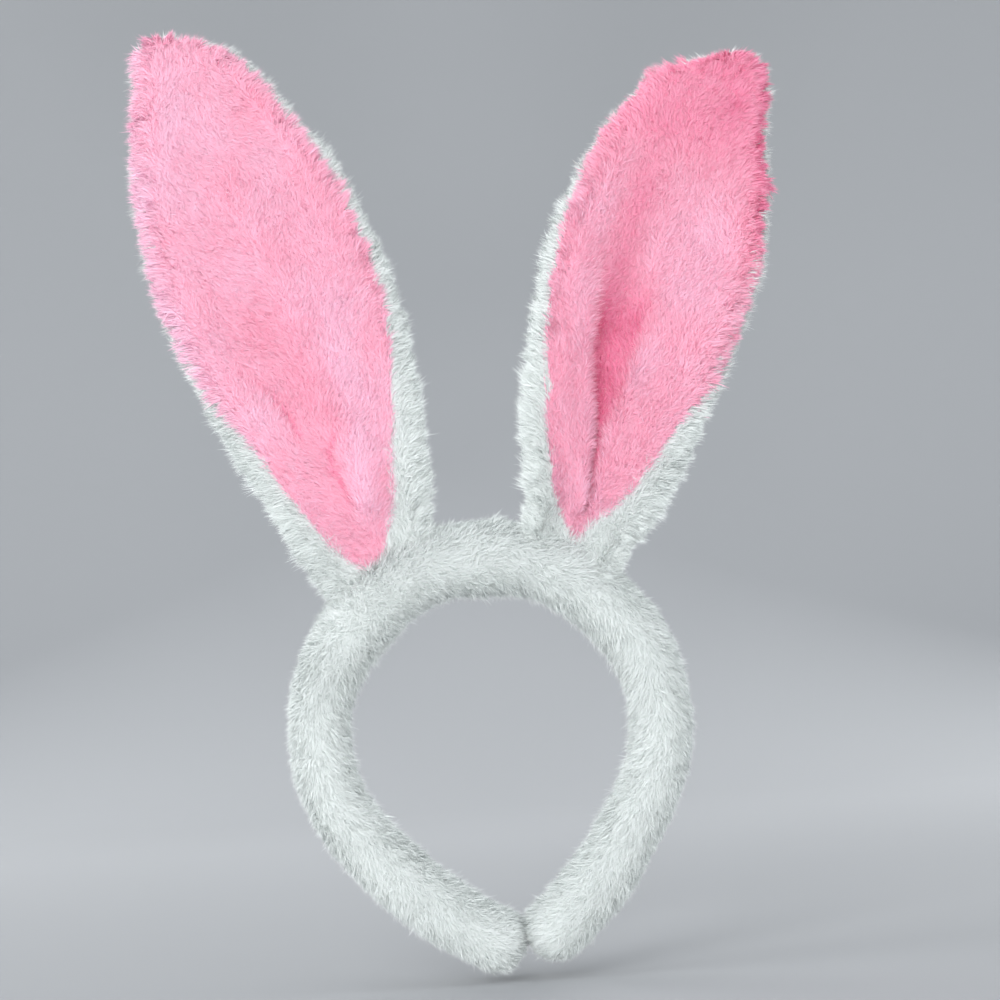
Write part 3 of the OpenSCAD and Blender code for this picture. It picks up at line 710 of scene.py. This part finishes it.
def ear_surface(e):
    """Closed grid round the ear at each height: front, outer edge, back, inner edge.

    Gives points, normals and what the pile needs there (t, s, 1 on the front, upwards, outwards), and the density.
    """
    loop_s = np.concatenate([COLS, [1.015, 1.02, 1.015], COLS[::-1], [-1.015, -1.02, -1.015]])
    front = np.concatenate([np.ones(len(COLS)), [0.7, 0.5, 0.3], np.zeros(len(COLS)), [0.3, 0.5, 0.7]])
    tg, sg = np.meshgrid(ROWS, loop_s, indexing="ij")
    fg = np.repeat(front[None], len(ROWS), 0)
    within = np.clip(sg, -1, 1)
    height = mix(back_o(tg, within), front_h(e, tg, within), fg)
    loop = ear_grid(e, tg, sg, height)
    heart = loop.mean(1, keepdims=True)
    lift = unit(heart[-1:] - heart[-4:-3])
    last, spread = heart[-1:], loop[-1:] - heart[-1:]
    loop = np.concatenate([loop, last + spread * 0.6 + lift * 1.0, last + spread * 0.1 + lift * 1.5])
    tg, sg, fg = (np.concatenate([g, g[-1:], g[-1:]]) for g in (tg, sg, fg))
    heart = loop.mean(1, keepdims=True)
    wrap = np.concatenate([loop[:, -2:], loop, loop[:, :2]], 1)
    across = np.gradient(wrap, axis=1)[:, 2:-2]
    up_dir = unit(np.gradient(loop, axis=0))
    nrm = unit(np.cross(across, up_dir))
    nrm = nrm * np.sign((nrm * (loop - heart)).sum())
    nrm[-2:] = unit(nrm[-2:] * 0.5 + lift)
    extra = np.concatenate([tg[..., None], sg[..., None], fg[..., None], up_dir, unit(loop - heart)], -1)
    denser = 1.0 + 1.0 * (1 - ramp(tg / 0.08))
    return [close_round(g) for g in (loop, nrm, extra)], close_round(denser)


def front_cloth(name, e):
    share = np.linspace(-1, 1, 41)
    tf = np.repeat(ROWS[:-1, None], len(share), 1)
    sf = np.clip(share * side_value(e, tf, share[None], "pink") * 0.98, -0.95, 0.95)
    top = front_h(e, tf, sf) - 1.2 - 2.0 * past_seam(e, tf, sf)
    co, quads = thick_sheet(ear_grid(e, tf, sf, top), ear_grid(e, tf, sf, top - 0.5))
    return mesh_from(f"{name}_ear_front_cloth", co, quads)


def back_cloth(name, e):
    tb, sb = np.meshgrid(ROWS, COLS * 0.93, indexing="ij")
    border = side_value(e, tb, sb, "pink")
    sunk = 1.8 * past_seam(e, tb, sb)
    over = front_h(e, tb, sb) - np.where(np.abs(sb) > border, 1.6, 2.0) - sunk
    under = back_o(tb, sb) + 1.5 + sunk
    co, quads = thick_sheet(ear_grid(e, tb, sb, over), ear_grid(e, tb, sb, under))
    return mesh_from(f"{name}_ear_back_cloth", co, quads)


def in_pink(e, p, t, s, f, seed):
    """Which places belong to the pink panel: on the front within its border, or where it goes round the edge."""
    ragged = s + 0.012 * rng.normal(size=len(s)) + 0.015 * wave(p, 14, seed + 9)
    start, depth = np.where((s > 0)[None], np.array(e["wrap_out"])[:, None], np.array(e["wrap_in"])[:, None])
    low_f = 0.85 - depth * ramp((t - start) / 0.14)
    inner, outer = (np.interp(t, e["pink_at"], e[key]) for key in ("pink_in", "pink_out"))
    return (f > low_f) & ((ragged < outer) & (ragged > -inner) | (f < 0.85))


def ear_pile(e, surface, denser, pink, length, seed):
    """Roots, normals, combing, lengths and leans of one panel's pile, with t, s and nearness to the edge."""
    p, nn, ex = scatter(*surface, FIBRES * 3, denser)
    inside = in_pink(e, p, ex[:, 0], ex[:, 1], ex[:, 2], seed)
    keep = np.flatnonzero(inside if pink else ~inside)[:FIBRES]
    p, nn, ex = p[keep], nn[keep], ex[keep]
    t, s = ex[:, 0], ex[:, 1]
    tip_dir, out_dir = unit(ex[:, 3:6]), unit(ex[:, 6:9])
    edge = ramp(1 - (1 - np.abs(s)) * half_w(e, t) / FRINGE_W)
    upward, swirl = (0.45, 0.4) if pink else (0.35, 0.2)
    comb = tip_dir * upward + np.cross(nn, tip_dir) * swirl * wave(p, 34, seed)[:, None]
    comb = comb + out_dir * (edge[:, None] * 1.5 + 0.25) + rng.normal(size=p.shape) * 0.3
    uneven = 1 + 0.12 * wave(p, 15, seed + 1) + 0.14 * wave(p, 5, seed + 2)
    ln = length * uneven * rng.uniform(*LENGTH_SPREAD, len(p))
    ln = ln * (1 + edge * (0.1 + 0.3 * wave(p, 4, seed + 3)))
    if pink and e["pinch"] > 0:
        lip, _, low = fold_lines(t)
        comb = comb + np.cross(tip_dir, nn) * (1.3 * low * bump(s, lip - 0.03, 0.06))[:, None]
    if pink and e["pinch"] == 0:
        ln = ln * (1 + 0.25 * edge * (s > 0))
    lean = mix(PANEL_LEAN, EDGE_LEAN, edge)
    root = p - nn * (ROOT_DEPTH + EDGE_ROOT_DEPTH * past_seam(e, t, s))[:, None]
    return root, nn, comb, ln, lean, t, s, edge


for name, e in EARS.items():
    surface, denser = ear_surface(e)
    pink_cloth = front_cloth(name, e)
    pink_cloth.data.materials.append(PINK_CLOTH)
    white_cloth = back_cloth(name, e)
    white_cloth.data.materials.append(WHITE_CLOTH)

    p, nn, comb, ln, lean, t, s, edge = ear_pile(e, surface, denser, True, FRONT_PILE, 11)
    # pink tone by fibre, less the folds' painted shade and painted highlights
    tone = 0.85 + 0.05 * wave(p, 26, 13) + rng.normal(size=len(p)) * 0.08 - folds(e, t, s)[1]
    width = rng.uniform(*FIBRE_W, len(p)) * (1 + 0.4 * edge)
    pink_fur = strands(
        f"{name}_ear_front_pile", p, nn, comb, ln, width, np.clip(tone, 0.01, 0.99), lean, 0.18 + 0.45 * edge)
    pink_fur.data.materials.append(PINK_PILE)

    p, nn, comb, ln, lean, t, s, edge = ear_pile(e, surface, denser, False, BACK_PILE, 31)
    tone = 0.6 + 0.08 * wave(p, 26, 33) + rng.normal(size=len(p)) * 0.06
    width = rng.uniform(*FIBRE_W, len(p)) * (1 + 0.3 * edge)
    white_fur = strands(
        f"{name}_ear_back_pile", p, nn, comb, ln, width, np.clip(tone, 0.01, 0.99), lean, 0.2 + 0.2 * edge,
        droop=0.05, raised=0.2)
    white_fur.data.materials.append(WHITE_PILE)

    tilt = math.radians(ROOT_ANGLE)
    rise = Vector((e["side"] * math.sin(tilt), 0, math.cos(tilt)))
    for ob in (pink_cloth, pink_fur, white_cloth, white_fur):
        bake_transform(ob)
    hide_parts(f"{name}_ear_front")
    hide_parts(f"{name}_ear_back")

for name, side in (("left", -1), ("right", 1)):
    skin, fur = half_sleeves[name]
    for ob in (skin, fur):
        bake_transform(ob)
    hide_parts(f"{name}_arm_sleeve", f"{name}_shoulder_sleeve")
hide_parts("crown_sleeve")


# ---- stage, light and camera

def curve_up(flat, radius, top):
    """Profile of a paper sweep: from the end of its flat part round to upright, up to top."""
    turn = np.linspace(0, math.pi / 2, 24)
    return [(flat + radius * math.sin(a), radius - radius * math.cos(a)) for a in turn] + [(flat + radius, top)]


floor_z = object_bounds()[0][2] - FLOOR_GAP
back = [(-3.0, 0.0)] + curve_up(0.75, 0.5, 3.0)
half = curve_up(3.0, 1.0, 2.0)
sides = [(-x, z) for x, z in half[::-1]] + half
co = np.array([[x, y, z + h + floor_z] for y, z in back for x, h in sides]) / MM
sweep = mesh_from("backdrop", co, grid_quads(len(back), len(sides))[:, ::-1])
sweep.data.materials.append(plain_material("backdrop_paper", (0.37, 0.382, 0.394), 0.95, 3, 0.01))

for name, (place, aim_z, size, watts) in LAMPS.items():
    data = bpy.data.lights.new(name, "AREA")
    data.shape = "DISK"
    data.size = size
    data.energy = watts
    ob = bpy.data.objects.new(name, data)
    ob.location = place
    ob.rotation_euler = (Vector((0, 0, aim_z)) - Vector(place)).to_track_quat("-Z", "Y").to_euler()
    bpy.context.scene.collection.objects.link(ob)
world = bpy.data.worlds.new("studio")
bpy.context.scene.world = world
world.use_nodes = True
world.node_tree.nodes["Background"].inputs["Color"].default_value = WORLD_COLOUR
world.node_tree.nodes["Background"].inputs["Strength"].default_value = WORLD_STRENGTH

# level camera in front of the part, turned about its own axis
cam_data = bpy.data.cameras.new("camera")
cam = bpy.data.objects.new("camera", cam_data)
bpy.context.scene.collection.objects.link(cam)
roll = math.radians(CAMERA_ROLL)
right = Vector((math.cos(roll), 0, -math.sin(roll)))
up = Vector((math.sin(roll), 0, math.cos(roll)))
cam.matrix_world = Matrix((
    (right.x, up.x, 0, CAMERA_X), (0, 0, -1, -CAMERA_AWAY), (right.z, up.z, 0, CAMERA_Z), (0, 0, 0, 1)))
cam_data.sensor_width = SENSOR_W
cam_data.lens = SENSOR_W * CAMERA_AWAY / PICTURE_W
cam_data.clip_end = 20
bpy.context.scene.camera = cam
bpy.context.scene.view_settings.view_transform = "Standard"
